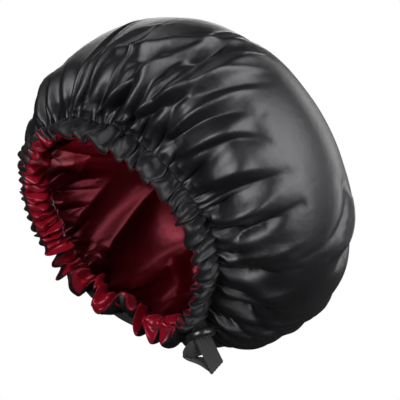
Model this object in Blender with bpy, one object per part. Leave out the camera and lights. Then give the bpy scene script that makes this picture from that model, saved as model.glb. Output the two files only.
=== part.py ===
"""A two-ply satin sleep bonnet with a gathered elastic rim, puffed out as it is when worn.

Metres, +Z up, the wearer's face toward -Y and the wearer's left toward +X. The origin is
the middle of the rim, where the head goes in. The crown's axis leans back from upright.
"""

import math

import bmesh
import bpy
import numpy as np

# Rim
RIM_HALF_LENGTH = 0.0975
RIM_HALF_WIDTH = 0.101
RIM_TILT = math.radians(45.0)

# Crown, measured from the rim's plane and from the crown's axis
CROWN_DEPTH = 0.189
CROWN_HALF_WIDTH = 0.161
CROWN_FRONT = 0.1425
CROWN_BACK = 0.1655

# Cloth
SATIN_WALL = 0.001
PLY_GAP = 0.0005
SEAM_GAP = 0.0008

# Casing: the channel that holds the elastic, and the frill below it
CHANNEL_WIDTH = 0.020
FRILL_WIDTH = 0.005
GATHERS = 30
PUFF_OUT = 0.0068
PUFF_IN = 0.0052
FRILL_WAVE = 0.0028
EDGE_SPREAD = 0.0011

# Folds of the crown
GATHER_HEIGHT = 0.0052
PLEAT_HEIGHT = 0.0034
FOLD_WIDTH = 0.034
FOLD_HEIGHT = 0.0062
FAR_SIDE_TURN = math.radians(5.0)

# Unevenness of the gathers: how far they stray round the rim, and how much they differ
LONG_STRAY = math.radians(3.2)
SHORT_STRAY = math.radians(1.3)
MAIN_DIFFERENCE = 0.24
LESSER_DIFFERENCE = 0.14

# Shares of the way from the stitch line to the crown's top: where a gather and a pleat have
# mostly faded, and below which the stitches hold the cloth down
GATHER_SHARE = 0.16
PLEAT_SHARE = 0.30
HELD_SHARE = 0.13

# Elastic band and its loop
ELASTIC_WIDTH = 0.015
ELASTIC_WALL = 0.0012
ELASTIC_CLEARANCE = 0.0009
STRAP_GATHER = 14
LEG_SPACING = 0.0038
FOLDED_SPACING = 0.0020
CORNER_RADIUS = 0.0025
LEG_REACH = 0.0085
DROOP_RADIUS = 0.016
DROOP_ANGLE = math.radians(27.0)
LOOP_DROP = 0.026
LOOP_LEAN = math.radians(-4.0)
FOLD_TURN = math.radians(108.0)
LOOP_BULGE = 0.021
LOOP_OPENING = 0.006
LOOP_LEAD = 0.004
LOOP_SPLAY = math.radians(38.0)

# Adjuster button
BUTTON_DIAMETER = 0.026
BUTTON_THICKNESS = 0.0065
BUTTON_ROUNDING = 0.0022
BUTTON_STANDOFF = 0.0008
SLOT_CLEARANCE = 0.0004

# Mesh counts, and how far a wall may thin where its faces turn away from each other
BAND_STEPS = 48
DROOP_STEPS = 3
LOOP_STEPS = 8
BUTTON_STEPS = 28
LEAST_AGREEMENT = 0.7

# How wide the crown is at each height: rise is a share of CROWN_DEPTH, the others of
# CROWN_HALF_WIDTH, CROWN_FRONT and CROWN_BACK.
SECTIONS = (
    # rise   side   front  back
    (0.125, 0.660, 0.730, 0.640),
    (0.160, 0.810, 0.830, 0.800),
    (0.240, 0.930, 0.930, 0.915),
    (0.350, 0.985, 0.980, 0.975),
    (0.465, 1.000, 1.000, 1.000),
    (0.600, 0.980, 0.980, 0.980),
    (0.740, 0.893, 0.900, 0.885),
    (0.857, 0.737, 0.745, 0.725),
    (0.942, 0.520, 0.520, 0.510),
    (1.000, 0.000, 0.000, 0.000),
)

# The casing's plies from the frill's edge (0) to the stitch line (1): how much of a puff,
# of the edge's wave and of the elastic's clearance each row has.
CASING_ROWS = (
    # along  puff  wave  clearance
    (0.00, 0.00, 1.00, 0.00),
    (0.24, 0.60, 0.35, 1.00),
    (0.60, 1.00, 0.00, 1.00),
    (0.90, 0.60, 0.00, 1.00),
    (1.00, 0.00, 0.00, 0.00),
)

# Folds and dents of the crown, as lines on the flat cloth. A turn is in degrees from the
# forehead toward the wearer's left, up is a share of the way from the stitch line to the
# crown's top, bow and width are shares of FOLD_WIDTH, height is a share of FOLD_HEIGHT.
# The wearer's right side has the same folds, set off by FAR_SIDE_TURN.
FOLDS = (
    # turn  up    turn  up    bow   width height
    (24.0, 0.03, 16.0, 0.38, 0.20, 0.40, 0.80),
    (30.0, 0.05, 27.0, 0.34, 0.00, 0.35, -0.60),
    (35.0, 0.03, 37.0, 0.30, 0.20, 0.40, 0.90),
    (35.0, 0.26, 60.0, 0.45, 0.50, 0.50, 0.60),
    (46.0, 0.06, 50.0, 0.24, 0.00, 0.50, -0.60),
    (57.0, 0.22, 67.0, 0.40, 0.20, 0.45, -0.80),
    (62.0, 0.06, 66.0, 0.24, 0.30, 0.40, 0.80),
    (69.0, 0.18, 78.0, 0.46, 0.20, 0.45, 0.90),
    (74.0, 0.06, 88.0, 0.27, 0.30, 0.45, -0.80),
    (80.0, 0.05, 93.0, 0.25, 0.20, 0.40, 0.70),
    (84.0, 0.09, 98.0, 0.26, 0.20, 0.40, -0.70),
    (95.0, 0.04, 100.0, 0.20, 0.20, 0.45, 0.60),
    (101.0, 0.02, 106.0, 0.26, 0.20, 0.45, -0.70),
    (110.0, 0.03, 108.0, 0.20, 0.00, 0.45, 0.70),
    (119.0, 0.02, 114.0, 0.24, 0.20, 0.50, -0.90),
    (121.0, 0.42, 130.0, 0.24, 0.40, 0.45, -0.60),
    (127.0, 0.03, 125.0, 0.20, 0.10, 0.45, 0.70),
    (135.0, 0.02, 133.0, 0.16, 0.10, 0.45, -0.80),
    (127.0, 0.44, 136.0, 0.28, 0.30, 0.45, 0.60),
    (139.0, 0.48, 142.0, 0.30, 0.20, 0.45, -0.60),
    (146.0, 0.03, 142.0, 0.18, 0.10, 0.45, 0.70),
    (156.0, 0.03, 148.0, 0.17, 0.10, 0.45, -0.80),
    (168.0, 0.04, 160.0, 0.22, 0.20, 0.50, 0.70),
)

# How far up each ring of the crown's mesh lies, and into how many steps it is divided
# for each gather.
CROWN_RINGS = (
    # up    steps per gather
    (0.000, 4),
    (0.045, 4),
    (0.110, 2),
    (0.190, 2),
    (0.280, 2),
    (0.380, 2),
    (0.490, 2),
    (0.600, 2),
    (0.710, 2),
    (0.820, 1),
    (0.920, 1),
)

SIDEWAYS = np.array([1.0, 0.0, 0.0])
FORWARD = np.array([0.0, -math.cos(RIM_TILT), math.sin(RIM_TILT)])
UPWARD = np.array([0.0, math.sin(RIM_TILT), math.cos(RIM_TILT)])


def unit(vectors):
    """Vectors scaled to length one, one in each row."""
    return vectors / np.linalg.norm(vectors, axis=-1, keepdims=True)


def spline(knots, rows, at):
    """Points at the given places of a smooth curve through rows, which has no corners."""
    slopes = np.gradient(rows, knots, axis=0)
    before = np.clip(np.searchsorted(knots, at, side="right") - 1, 0, len(knots) - 2)
    span = (knots[before + 1] - knots[before])[..., None]
    share = (at - knots[before])[..., None] / span
    start_weight = (1 + 2 * share) * (1 - share) ** 2
    end_weight = share**2 * (3 - 2 * share)
    start_lean = share * (1 - share) ** 2 * span
    end_lean = share**2 * (share - 1) * span
    return (
        start_weight * rows[before]
        + end_weight * rows[before + 1]
        + start_lean * slopes[before]
        + end_lean * slopes[before + 1]
    )


def gather_turn(gather):
    """The angle round the rim of a place counted in gathers, which are spaced unevenly."""
    even = 2 * math.pi * gather / GATHERS
    return even + LONG_STRAY * np.sin(3 * even + 1.0) + SHORT_STRAY * np.sin(8 * even + 2.0)


def gather_size(gather):
    """How large a gather is beside the mean one."""
    index = np.floor(gather)
    main = MAIN_DIFFERENCE * np.sin(2.4 * index + 0.5)
    return 1.0 + main + LESSER_DIFFERENCE * np.sin(4.1 * index)


def puff(gather):
    """Height of a gather's puff, 0 in the pinch on each side of it."""
    return np.sin(math.pi * gather) ** 2 * gather_size(gather)


def outward(turn):
    """Directions away from the crown's axis, in the rim's plane."""
    return np.cos(turn)[..., None] * FORWARD + np.sin(turn)[..., None] * SIDEWAYS


def rim_point(turn, height):
    """Points of the smooth elastic line, at a height above the rim's plane."""
    fore = RIM_HALF_LENGTH * np.cos(turn)
    side = RIM_HALF_WIDTH * np.sin(turn)
    return fore[..., None] * FORWARD + side[..., None] * SIDEWAYS + height[..., None] * UPWARD


def crown_profile():
    """The sections in metres, from the stitch line to the top and one row past it."""
    sizes = np.array([CROWN_DEPTH, CROWN_HALF_WIDTH, CROWN_FRONT, CROWN_BACK])
    stitch_line = [CHANNEL_WIDTH + SEAM_GAP, RIM_HALF_WIDTH, RIM_HALF_LENGTH, RIM_HALF_LENGTH]
    rows = np.vstack([stitch_line, np.array(SECTIONS) * sizes])
    past_the_top = rows[-2] * np.array([1.0, -1.0, -1.0, -1.0])
    rows = np.vstack([rows, past_the_top])
    steps = np.hypot(np.diff(rows[:, 0]), np.diff(rows[:, 1]))
    knots = np.concatenate([[0.0], np.cumsum(steps)])
    return knots / knots[-2], rows


def flat_place(turn, up):
    """Where a place on the crown lies on its flat round cloth, whose radius is 1."""
    return np.stack([(1 - up) * np.cos(turn), (1 - up) * np.sin(turn)], axis=-1)


def fold_height(turn, up):
    """How far the folds and dents lift the cloth."""
    place = flat_place(turn, up)
    cloth_radius = CROWN_DEPTH + CROWN_HALF_WIDTH
    width_share = FOLD_WIDTH / cloth_radius
    height = np.zeros(place.shape[:-1])
    near_side = [(1.0, 0.0, row) for row in FOLDS]
    far_side = [(-1.0, FAR_SIDE_TURN, row) for row in FOLDS]
    for side, shift, (turn_a, up_a, turn_b, up_b, bow, width, rise) in near_side + far_side:
        start = flat_place(side * math.radians(turn_a) + shift, up_a)
        end = flat_place(side * math.radians(turn_b) + shift, up_b)
        line = end - start
        share = np.clip((place - start) @ line / (line @ line), 0.0, 1.0)
        square_to_line = np.array([-line[1], line[0]]) / np.linalg.norm(line)
        bend = 4 * share * (1 - share) * bow * width_share
        nearest = start + share[..., None] * line + bend[..., None] * square_to_line
        distance = np.linalg.norm(place - nearest, axis=-1) / (width * width_share)
        height += rise * FOLD_HEIGHT * np.exp(-(distance**2))
    return height


def gather_height(gather, up):
    """How far the gathers lift the crown's cloth, less and less toward the top."""
    reach = GATHER_SHARE * gather_size(gather + 7.0)
    ripple = (2 * puff(gather) - 1) * np.exp(-((up / reach) ** 2))
    pleat = np.cos(math.pi * gather + 0.6) * np.exp(-((up / PLEAT_SHARE) ** 2))
    return GATHER_HEIGHT * ripple + PLEAT_HEIGHT * pleat


def crown_base(gather, up):
    """The crown's smooth form, without folds."""
    turn = gather_turn(gather)
    knots, rows = crown_profile()
    height, side, front, back = np.moveaxis(spline(knots, rows, up), -1, 0)
    fore = np.where(np.cos(turn) > 0, front, back) * np.cos(turn)
    across = side * np.sin(turn)
    return (
        fore[..., None] * FORWARD + across[..., None] * SIDEWAYS + height[..., None] * UPWARD
    )


def surface_normal(surface, gather, up):
    """Outward normals of a surface over gather and up, from small steps along both."""
    step = 1e-3
    around = surface(gather + step, up) - surface(gather - step, up)
    along = surface(gather, up + step) - surface(gather, np.maximum(up - step, 0.0))
    return unit(np.cross(around, along))


def crown_surface(gather, up):
    """The middle between the crown and its lining, with gathers and folds."""
    base = crown_base(gather, up)
    lift = gather_height(gather, up) + fold_height(gather_turn(gather), up)
    held_at_stitches = np.clip(up / HELD_SHARE, 0.0, 1.0)
    normal = surface_normal(crown_base, gather, up)
    return base + (lift * held_at_stitches)[..., None] * normal


def crown_rings():
    """The rings of the crown's middle surface, from the stitch line up."""
    rings = []
    for up, steps in CROWN_RINGS:
        gather = np.arange(GATHERS * steps) / steps
        rings.append(crown_surface(gather, np.full(len(gather), up)))
    return rings


def casing_surface(sign):
    """The middle of the casing's outer ply (sign 1) or inner ply (sign -1)."""
    puff_height = PUFF_OUT if sign > 0 else PUFF_IN
    rows = np.array(CASING_ROWS)
    elastic_spread = ELASTIC_WALL / 2 + ELASTIC_CLEARANCE + SATIN_WALL / 2

    def surface(gather, along):
        turn = gather_turn(gather)
        swell, wave, clearance = (np.interp(along, rows[:, 0], rows[:, i]) for i in (1, 2, 3))
        frill = FRILL_WIDTH * (0.45 + 0.55 * puff(gather))
        height = -frill + along * (CHANNEL_WIDTH + frill)
        spread = EDGE_SPREAD + clearance * (elastic_spread - EDGE_SPREAD)
        lean = wave * FRILL_WAVE * np.sin(2 * math.pi * gather) * gather_size(gather)
        away = lean + sign * (spread + swell * puff_height * puff(gather))
        return rim_point(turn, height) + away[..., None] * outward(turn)

    return surface


def casing_rings(sign):
    """The rings of the middle of a casing ply, from the frill's edge to the stitch line."""
    surface = casing_surface(sign)
    steps = CROWN_RINGS[0][1]
    gather = np.arange(GATHERS * steps) / steps
    return [surface(gather, np.full(len(gather), row[0])) for row in CASING_ROWS]


def add_strip(faces, ring, next_ring):
    """Triangles between two rings of vertices, where the next may have half as many."""
    count, next_count = len(ring), len(next_ring)
    if count == next_count:
        for i in range(count):
            j = (i + 1) % count
            faces.append((ring[i], ring[j], next_ring[j]))
            faces.append((ring[i], next_ring[j], next_ring[i]))
        return
    for i in range(next_count):
        j = (i + 1) % next_count
        first, middle, last = ring[2 * i], ring[2 * i + 1], ring[2 * j]
        faces.append((first, middle, next_ring[i]))
        faces.append((middle, next_ring[j], next_ring[i]))
        faces.append((middle, last, next_ring[j]))


def new_material(name, color, roughness, metallic=0.0):
    """A plain Principled material."""
    material = bpy.data.materials.new(name)
    material.use_nodes = True
    shader = material.node_tree.nodes["Principled BSDF"]
    shader.inputs["Base Color"].default_value = (*color, 1.0)
    shader.inputs["Roughness"].default_value = roughness
    shader.inputs["Metallic"].default_value = metallic
    return material


def new_object(name, vertices, faces, material):
    """A closed solid with its faces turned outward."""
    mesh = bpy.data.meshes.new(name)
    mesh.from_pydata([tuple(v) for v in vertices], [], faces)
    shaper = bmesh.new()
    shaper.from_mesh(mesh)
    bmesh.ops.recalc_face_normals(shaper, faces=shaper.faces)
    shaper.to_mesh(mesh)
    shaper.free()
    mesh.shade_smooth()
    mesh.set_sharp_from_angle(angle=math.radians(50))
    mesh.materials.append(material)
    item = bpy.data.objects.new(name, mesh)
    bpy.context.collection.objects.link(item)
    return item


def sheet(rings, top=None):
    """A sheet of triangles through rings of points, with a fan to a top point if given."""
    faces = []
    stack = []
    count = 0
    for ring in rings:
        stack.append(range(count, count + len(ring)))
        count += len(ring)
    for ring, next_ring in zip(stack, stack[1:]):
        add_strip(faces, ring, next_ring)
    vertices = np.concatenate(rings)
    edges = [stack[0], stack[-1]]
    if top is not None:
        vertices = np.vstack([vertices, top])
        for i in stack[-1]:
            after = stack[-1][(i + 1 - stack[-1][0]) % len(stack[-1])]
            faces.append((i, after, count))
        edges = edges[:1]
    return vertices, np.array(faces), edges


def wall_directions(vertices, faces, edges):
    """Which way and how far each vertex moves for each metre that the sheet's faces move."""
    corners = vertices[faces]
    areas = np.cross(corners[:, 1] - corners[:, 0], corners[:, 2] - corners[:, 0])
    total = np.zeros_like(vertices)
    weight = np.zeros(len(vertices))
    for i in range(3):
        np.add.at(total, faces[:, i], areas)
        np.add.at(weight, faces[:, i], np.linalg.norm(areas, axis=1))
    agreement = np.linalg.norm(total, axis=1) / weight
    directions = unit(total) / np.maximum(agreement, LEAST_AGREEMENT)[:, None]
    for edge in edges:
        turn = gather_turn(np.arange(len(edge)) * GATHERS / len(edge))
        directions[list(edge)] = outward(turn)
    return directions


def cloth_wall(name, cloth, near, far, material):
    """A closed wall between two offsets from a sheet."""
    vertices, faces, edges = cloth
    directions = wall_directions(vertices, faces, edges)
    count = len(vertices)
    all_faces = [tuple(face) for face in faces]
    all_faces += [tuple(face[::-1] + count) for face in faces]
    for edge in edges:
        add_strip(all_faces, edge, [i + count for i in edge])
    both = np.vstack([vertices + far * directions, vertices + near * directions])
    return new_object(name, both, all_faces, material)


def strap_frame():
    """Where the strap leaves the channel: a point on the elastic, outward and sideways."""
    turn = gather_turn(np.array(STRAP_GATHER + 0.5))
    out = outward(turn)
    return rim_point(turn, np.array(CHANNEL_WIDTH / 2)), out, np.cross(out, UPWARD)


def in_strap_plane(angle):
    """A direction in the strap's plane, turned from outward toward the rim's open side."""
    _, out, _ = strap_frame()
    return math.cos(angle) * out - math.sin(angle) * UPWARD


def droop_route():
    """Stations of one leg from the channel to the button: centre, edge direction."""
    start, out, _ = strap_frame()
    stations = [(start + share * LEG_REACH * out, UPWARD) for share in (0.45, 1.0)]
    centre, _ = stations[-1]
    step = DROOP_ANGLE / DROOP_STEPS
    for i in range(1, DROOP_STEPS + 1):
        angle = i * step
        heading = in_strap_plane(angle - step / 2)
        centre = centre + DROOP_RADIUS * step * heading
        stations.append((centre, in_strap_plane(angle - math.pi / 2)))
    heading = in_strap_plane(DROOP_ANGLE)
    length = BUTTON_THICKNESS + 2 * BUTTON_STANDOFF
    stations.append((centre + length * heading, stations[-1][1]))
    return stations


def button_middle():
    """The centre of the adjuster button, between the last two stations of a leg."""
    stations = droop_route()
    return (stations[-1][0] + stations[-2][0]) / 2


def loop_stations(side):
    """The loop below the button: its front leg, the flat fold and the rear leg."""
    start, edge = droop_route()[-1]
    heading_angle = DROOP_ANGLE + LOOP_LEAN
    heading = in_strap_plane(heading_angle)
    fold_point = start + LOOP_DROP * heading
    fold_line = in_strap_plane(heading_angle - FOLD_TURN)
    half = ELASTIC_WIDTH / 2
    fold_half = half / math.sin(FOLD_TURN)
    back_heading = 2 * (heading @ fold_line) * fold_line - heading
    past_fold = np.cross(fold_line, side)
    past_fold = past_fold * np.sign(past_fold @ heading)
    apart = FOLDED_SPACING / 2
    wide = LEG_SPACING / 2
    front_edge = in_strap_plane(heading_angle - math.pi / 2)
    stations = [
        (start + wide * side, half * edge),
        (start + 0.5 * LOOP_DROP * heading + (wide + apart) / 2 * side, half * front_edge),
        (fold_point - 0.2 * half * heading + apart * side, fold_half * fold_line),
        (fold_point + apart * past_fold + 0.7 * apart * side, fold_half * fold_line),
        (fold_point + 1.4 * apart * past_fold, fold_half * fold_line),
        (fold_point + apart * past_fold - 0.7 * apart * side, fold_half * fold_line),
        (fold_point - 0.2 * half * heading - apart * side, fold_half * fold_line),
    ]
    leaving = start + LOOP_LEAD * in_strap_plane(DROOP_ANGLE)
    points = (
        fold_point,
        fold_point + LOOP_BULGE * back_heading,
        leaving + LOOP_BULGE * in_strap_plane(DROOP_ANGLE + LOOP_SPLAY),
        leaving,
    )
    for i in range(2, LOOP_STEPS + 1):
        t = i / LOOP_STEPS
        weights = ((1 - t) ** 3, 3 * t * (1 - t) ** 2, 3 * t**2 * (1 - t), t**3)
        slopes = (-3 * (1 - t) ** 2, 3 * (1 - t) * (1 - 3 * t), 3 * t * (2 - 3 * t), 3 * t**2)
        centre = sum(weight * point for weight, point in zip(weights, points))
        heading_here = unit(sum(slope * point for slope, point in zip(slopes, points)))
        across = np.cross(side, heading_here)
        across = across * np.sign(across @ edge)
        gap = apart + (wide - apart) * t + LOOP_OPENING * math.sin(math.pi * t) ** 2
        stations.append((centre - gap * side, half * across))
    stations.append((start - wide * side, half * edge))
    return stations


def band_stations():
    """The whole closed band: round the channel, out at the nape, and round its loop."""
    start, out, side = strap_frame()
    side = side * np.sign(side @ SIDEWAYS)
    turn = float(gather_turn(np.array(STRAP_GATHER + 0.5)))
    half_edge = ELASTIC_WIDTH / 2 * UPWARD
    radius = np.linalg.norm(start - CHANNEL_WIDTH / 2 * UPWARD)
    gap_angle = (LEG_SPACING / 2 + 2 * CORNER_RADIUS) / radius
    turns = turn + np.linspace(gap_angle, 2 * math.pi - gap_angle, BAND_STEPS)
    ring = rim_point(turns, np.full(BAND_STEPS, CHANNEL_WIDTH / 2))
    stations = [(centre, half_edge) for centre in ring]
    corners = []
    for angle in (math.radians(20), math.radians(50), math.radians(80)):
        inward = LEG_SPACING / 2 + CORNER_RADIUS * (1 - math.sin(angle))
        outward_reach = CORNER_RADIUS * (1 - math.cos(angle))
        corners.append((inward, outward_reach))
    for inward, reach in corners:
        stations.append((start + inward * side + reach * out, half_edge))
    leg = droop_route()
    for centre, edge in leg[:-1]:
        stations.append((centre + LEG_SPACING / 2 * side, ELASTIC_WIDTH / 2 * edge))
    stations.extend(loop_stations(side))
    for centre, edge in reversed(leg[:-1]):
        stations.append((centre - LEG_SPACING / 2 * side, ELASTIC_WIDTH / 2 * edge))
    for inward, reach in reversed(corners):
        stations.append((start - inward * side + reach * out, half_edge))
    return stations


def elastic_band(material):
    """The flat elastic, one closed strip."""
    stations = band_stations()
    centres = np.array([centre for centre, _ in stations])
    edges = np.array([edge for _, edge in stations])
    headings = np.roll(centres, -1, axis=0) - np.roll(centres, 1, axis=0)
    walls = ELASTIC_WALL / 2 * unit(np.cross(headings, edges))
    corners = (edges + walls, edges - walls, -edges - walls, -edges + walls)
    count = len(stations)
    vertices = np.concatenate([centres + corner for corner in corners])
    faces = []
    for i in range(4):
        ring = range(i * count, (i + 1) * count)
        next_corner = (i + 1) % 4
        add_strip(faces, ring, range(next_corner * count, (next_corner + 1) * count))
    return new_object("elastic_band", vertices, faces, material)


def box_cutter(name, centre, axes, sizes):
    """A guide box that other solids are cut by, with its own axes."""
    corners = []
    for x in (-0.5, 0.5):
        for y in (-0.5, 0.5):
            for z in (-0.5, 0.5):
                shift = (x, y, z)
                corners.append(centre + sum(s * l * a for s, l, a in zip(shift, sizes, axes)))
    faces = [(0, 1, 3, 2), (4, 6, 7, 5), (0, 4, 5, 1), (2, 3, 7, 6), (0, 2, 6, 4), (1, 5, 7, 3)]
    cutter = new_object(name, corners, faces, bpy.data.materials["black satin"])
    cutter.hide_render = True
    cutter.display_type = "WIRE"
    return cutter


def cut(item, cutter):
    """A Boolean cut of one solid by a guide."""
    modifier = item.modifiers.new(cutter.name, "BOOLEAN")
    modifier.operation = "DIFFERENCE"
    modifier.solver = "EXACT"
    modifier.object = cutter


def adjuster_button(material):
    """The round button that both legs of the strap pass through."""
    _, edge = droop_route()[-1]
    _, _, side = strap_frame()
    axis = in_strap_plane(DROOP_ANGLE)
    middle = button_middle()
    half = BUTTON_THICKNESS / 2
    radius = BUTTON_DIAMETER / 2
    profile = [(radius - BUTTON_ROUNDING, half)]
    for angle in (30.0, 60.0, 90.0):
        lean = math.radians(angle)
        away = radius - BUTTON_ROUNDING + BUTTON_ROUNDING * math.sin(lean)
        profile.append((away, half - BUTTON_ROUNDING + BUTTON_ROUNDING * math.cos(lean)))
    profile += [(away, -height) for away, height in reversed(profile)]
    turns = 2 * math.pi * np.arange(BUTTON_STEPS) / BUTTON_STEPS
    vertices = []
    faces = []
    stack = []
    for away, height in profile:
        spokes = np.cos(turns)[:, None] * edge + np.sin(turns)[:, None] * side
        stack.append(range(len(vertices), len(vertices) + BUTTON_STEPS))
        vertices.extend(middle + height * axis + away * spokes)
    for ring, next_ring in zip(stack, stack[1:]):
        add_strip(faces, ring, next_ring)
    faces.append(tuple(stack[0]))
    faces.append(tuple(reversed(stack[-1])))
    button = new_object("adjuster_button", vertices, faces, material)
    slot = (
        ELASTIC_WIDTH + 2 * SLOT_CLEARANCE,
        ELASTIC_WALL + 2 * SLOT_CLEARANCE,
        2 * BUTTON_THICKNESS,
    )
    for name, sign in (("front_slot", 1), ("rear_slot", -1)):
        centre = middle + sign * LEG_SPACING / 2 * side
        cut(button, box_cutter(name, centre, (edge, side, axis), slot))
    return button


def build():
    """Every piece of the bonnet."""
    for item in list(bpy.data.objects):
        bpy.data.objects.remove(item, do_unlink=True)
    black = new_material("black satin", (0.012, 0.012, 0.014), 0.32)
    red = new_material("wine satin", (0.28, 0.008, 0.024), 0.34)
    ribbed = new_material("ribbed elastic", (0.016, 0.016, 0.017), 0.85)
    plastic = new_material("black plastic", (0.010, 0.010, 0.011), 0.25)

    near = PLY_GAP / 2
    far = PLY_GAP / 2 + SATIN_WALL
    crown_cloth = sheet(crown_rings(), CROWN_DEPTH * UPWARD)
    cloth_wall("crown", crown_cloth, near, far, black)
    cloth_wall("lining", crown_cloth, -far, -near, red)

    half = SATIN_WALL / 2
    casing = cloth_wall("brim_casing", sheet(casing_rings(1)), -half, half, black)
    cloth_wall("brim_facing", sheet(casing_rings(-1)), -half, half, red)

    start, out, side = strap_frame()
    slit = (
        2 * LEG_REACH,
        LEG_SPACING + ELASTIC_WALL + 4 * SLOT_CLEARANCE,
        ELASTIC_WIDTH + 2 * SLOT_CLEARANCE,
    )
    slit_middle = start + (ELASTIC_WALL + LEG_REACH) * out
    cut(casing, box_cutter("nape_slit", slit_middle, (out, side, UPWARD), slit))

    elastic_band(ribbed)
    adjuster_button(plastic)


build()
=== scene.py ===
"""The looks of a two-ply satin sleep bonnet, black outside and wine red inside.

Metres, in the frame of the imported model: +Z up, the wearer's face toward -Y and the
wearer's left toward +X. The origin is the middle of the rim.
"""

import math

import bpy
import numpy as np
from mathutils import Matrix, Vector


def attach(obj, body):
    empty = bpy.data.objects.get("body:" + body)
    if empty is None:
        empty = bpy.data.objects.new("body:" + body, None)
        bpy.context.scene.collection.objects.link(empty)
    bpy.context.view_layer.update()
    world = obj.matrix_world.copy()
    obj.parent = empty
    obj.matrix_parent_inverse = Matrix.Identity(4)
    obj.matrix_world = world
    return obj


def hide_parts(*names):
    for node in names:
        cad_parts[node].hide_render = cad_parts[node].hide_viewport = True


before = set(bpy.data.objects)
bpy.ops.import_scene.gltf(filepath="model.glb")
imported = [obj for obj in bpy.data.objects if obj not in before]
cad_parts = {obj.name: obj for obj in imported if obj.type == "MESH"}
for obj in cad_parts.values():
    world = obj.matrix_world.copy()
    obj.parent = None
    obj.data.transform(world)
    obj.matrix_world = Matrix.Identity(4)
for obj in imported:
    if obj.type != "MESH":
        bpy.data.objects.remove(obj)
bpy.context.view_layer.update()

# Rim and crown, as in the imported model
RIM_HALF_LENGTH = 0.0975
RIM_HALF_WIDTH = 0.101
RIM_TILT = math.radians(45.0)
CROWN_DEPTH = 0.189
CROWN_HALF_WIDTH = 0.161
CROWN_FRONT = 0.1400
CROWN_BACK = 0.1675
CHANNEL_WIDTH = 0.020
CLOTH_RADIUS = 0.312

SECTIONS = (
    # rise   side   front  back
    (0.125, 0.66, 0.73, 0.64),
    (0.16, 0.81, 0.83, 0.8),
    (0.24, 0.93, 0.93, 0.915),
    (0.35, 0.985, 0.98, 0.975),
    (0.465, 1, 1, 1),
    (0.6, 0.98, 0.98, 0.98),
    (0.74, 0.893, 0.9, 0.885),
    (0.857, 0.737, 0.745, 0.725),
    (0.942, 0.52, 0.52, 0.51),
    (1, 0, 0, 0),
)

# Gathers of the casing round the rim: turns in degrees from the forehead toward the
# wearer's left, and the mean width of one gather in metres
GATHER_WIDTHS = (
    # from    to      width
    (0, 60, 0.0115),
    (60, 185, 0.015),
    (185, 278, 0.017),
    (278, 360, 0.0092),
)
CROWN_STEPS = 15
CASING_STEPS = 27
PLEATS = 3

# Large folds and dents of the crown, as lines on the flat cloth: turns in degrees, up as a
# share of the way from the stitch line to the top, bow and width in metres, height in metres
FOLDS = (
    # turn  up    turn  up    bow     width   height
    (20, 0.03, 15, 0.34, 0.0068, 0.011, 0.0044),
    (30, 0.05, 27, 0.34, 0, 0.0075, -0.0048),
    (7, 0.04, 2, 0.3, -0.01, 0.0065, 0.004),
    (25.4, 0.03, 29.5, 0.3, 0.006, 0.006, 0.0046),
    (30, 0.02, 38, 0.3, 0.024, 0.008, -0.0036),
    (33, 0.01, 43, 0.36, 0.025, 0.0062, 0.006),
    (35.5, 0.23, 70, 0.48, -0.026, 0.0062, 0.0056),
    (44, 0.21, 73, 0.45, -0.022, 0.011, -0.0044),
    (39.5, 0.02, 66, 0.43, -0.012, 0.0062, 0.0052),
    (53, 0.03, 79, 0.4, -0.016, 0.0062, 0.0052),
    (57, 0.05, 82, 0.36, -0.014, 0.01, -0.0046),
    (72, 0.08, 81.5, 0.32, 0.004, 0.006, 0.004),
    (46, 0.04, 50, 0.24, 0, 0.011, -0.0048),
    (57, 0.2, 67, 0.4, 0.0068, 0.011, -0.0062),
    (62, 0.04, 66, 0.24, 0.0102, 0.011, 0.0056),
    (69, 0.16, 78, 0.46, 0.0068, 0.013, 0.0062),
    (74, 0.04, 88, 0.27, 0.0102, 0.012, -0.0062),
    (80, 0.03, 93, 0.25, 0.0068, 0.011, 0.005),
    (84, 0.09, 98, 0.26, 0.0068, 0.0105, -0.0056),
    (95, 0.03, 100, 0.2, 0.0068, 0.012, 0.0044),
    (101, 0.02, 106, 0.26, 0.0068, 0.011, -0.0052),
    (110, 0.03, 108, 0.2, 0, 0.012, 0.0048),
    (119, 0.02, 114, 0.24, 0.0068, 0.011, -0.0066),
    (121, 0.42, 130, 0.24, 0.0136, 0.011, -0.0044),
    (127, 0.03, 125, 0.2, 0.0034, 0.012, 0.0048),
    (135, 0.02, 133, 0.16, 0.0034, 0.011, -0.0056),
    (127, 0.44, 136, 0.28, 0.0102, 0.012, 0.0044),
    (139, 0.48, 142, 0.3, 0.0068, 0.011, -0.0044),
    (146, 0.03, 142, 0.18, 0.0034, 0.012, 0.0048),
    (156, 0.03, 148, 0.17, 0.0034, 0.011, -0.0056),
    (168, 0.04, 160, 0.22, 0.0068, 0.013, 0.0048),
)

# Long soft folds of the lining, which stand toward the inside
LINING_FOLDS = (
    # turn  up    turn  up    bow     width   height
    (261, 0.02, 275, 0.66, -0.006, 0.015, 0.015),
    (251, 0.04, 240, 0.6, 0.008, 0.014, 0.013),
    (236, 0.04, 228, 0.45, 0.006, 0.012, 0.009),
    (220, 0.04, 212, 0.4, 0.006, 0.012, 0.008),
    (204, 0.04, 198, 0.36, 0.006, 0.012, 0.007),
    (281, 0.06, 288, 0.48, 0.006, 0.01, 0.005),
    (296, 0.06, 300, 0.48, -0.006, 0.012, 0.006),
    (314, 0.06, 312, 0.4, 0.006, 0.012, 0.005),
)

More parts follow.
